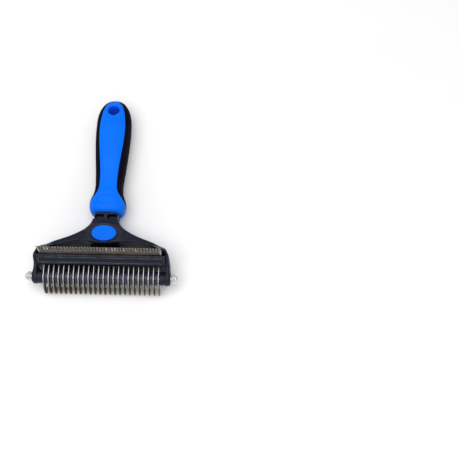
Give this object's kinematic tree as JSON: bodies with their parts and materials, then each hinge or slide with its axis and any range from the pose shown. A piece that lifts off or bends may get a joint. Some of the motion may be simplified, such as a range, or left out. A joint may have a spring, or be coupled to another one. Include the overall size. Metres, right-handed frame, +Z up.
{
  "type": "dematting comb",
  "caption": "Two-in-one pet dematting comb: a rake of hooked steel blades on a threaded rod, a fine-toothed edge blade above it, and a handle with a soft grip.",
  "frame": {"origin": "middle of the footprint, on the surface that the comb lies on", "axes": "+X along the rod to the right-hand nut, +Y from the blades to the hanging hole, +Z up from the table, the way the edge blade's teeth point"},
  "size_m": [0.1236, 0.1742, 0.045],
  "materials": {
    "black_plastic": "satin moulded ABS",
    "spacer_plastic": "satin turned plastic tube",
    "blue_plastic": "semi-gloss moulded ABS",
    "soft_grip": "matt overmoulded soft rubber",
    "rake_steel": "stainless, ground faces and polished edges",
    "blade_steel": "stainless, brushed along the teeth",
    "rod_steel": "zinc-plated, threaded",
    "nut_chrome": "polished nickel plate"
  },
  "bodies": {
    "comb": {"head_frame": "black_plastic", "handle_body": "blue_plastic", "soft_grip": "soft_grip", "badge": "blue_plastic", "edge_blade": "blade_steel", "blade_clamp": "black_plastic", "clamp_screw_left": "rod_steel", "clamp_screw_right": "rod_steel", "threaded_rod": "rod_steel", "rake_blade_01": "rake_steel", "rake_blade_02": "rake_steel", "rake_blade_03": "rake_steel", "rake_blade_04": "rake_steel", "rake_blade_05": "rake_steel", "rake_blade_06": "rake_steel", "rake_blade_07": "rake_steel", "rake_blade_08": "rake_steel", "rake_blade_09": "rake_steel", "rake_blade_10": "rake_steel", "rake_blade_11": "rake_steel", "rake_blade_12": "rake_steel", "rake_blade_13": "rake_steel", "rake_blade_14": "rake_steel", "rake_blade_15": "rake_steel", "rake_blade_16": "rake_steel", "rake_blade_17": "rake_steel", "rake_blade_18": "rake_steel", "rake_blade_19": "rake_steel", "rake_blade_20": "rake_steel", "rake_blade_21": "rake_steel", "rake_blade_22": "rake_steel", "rake_blade_23": "rake_steel", "rake_blade_24": "rake_steel", "spacer_01": "spacer_plastic", "spacer_02": "spacer_plastic", "spacer_03": "spacer_plastic", "spacer_04": "spacer_plastic", "spacer_05": "spacer_plastic", "spacer_06": "spacer_plastic", "spacer_07": "spacer_plastic", "spacer_08": "spacer_plastic", "spacer_09": "spacer_plastic", "spacer_10": "spacer_plastic", "spacer_11": "spacer_plastic", "spacer_12": "spacer_plastic", "spacer_13": "spacer_plastic", "spacer_14": "spacer_plastic", "spacer_15": "spacer_plastic", "spacer_16": "spacer_plastic", "spacer_17": "spacer_plastic", "spacer_18": "spacer_plastic", "spacer_19": "spacer_plastic", "spacer_20": "spacer_plastic", "spacer_21": "spacer_plastic", "spacer_22": "spacer_plastic", "spacer_23": "spacer_plastic"},
    "left_washer": {"washer_left": "rod_steel"},
    "left_nut": {"cap_nut_left": "nut_chrome"},
    "right_washer": {"washer_right": "rod_steel"},
    "right_nut": {"cap_nut_right": "nut_chrome"}
  },
  "joints": [
    {"name": "left_nut_travel", "type": "slide", "parent": "comb", "child": "left_washer", "axis": [-1, 0, 0], "range_m": [0, 0.0028]},
    {"name": "left_nut_spin", "type": "hinge", "parent": "left_washer", "child": "left_nut", "pos_m": [-0.0592, -0.07587, 0.015], "axis": [-1, 0, 0], "range_deg": [0, 1440]},
    {"name": "right_nut_travel", "type": "slide", "parent": "comb", "child": "right_washer", "axis": [1, 0, 0], "range_m": [0, 0.0028]},
    {"name": "right_nut_spin", "type": "hinge", "parent": "right_washer", "child": "right_nut", "pos_m": [0.0592, -0.07587, 0.015], "axis": [1, 0, 0], "range_deg": [0, 1440]}
  ],
  "couplings": [
    {"joint": "left_nut_spin", "follows": "left_nut_travel", "rad_per_m": 8976},
    {"joint": "right_nut_spin", "follows": "right_nut_travel", "rad_per_m": 8976}
  ]
}
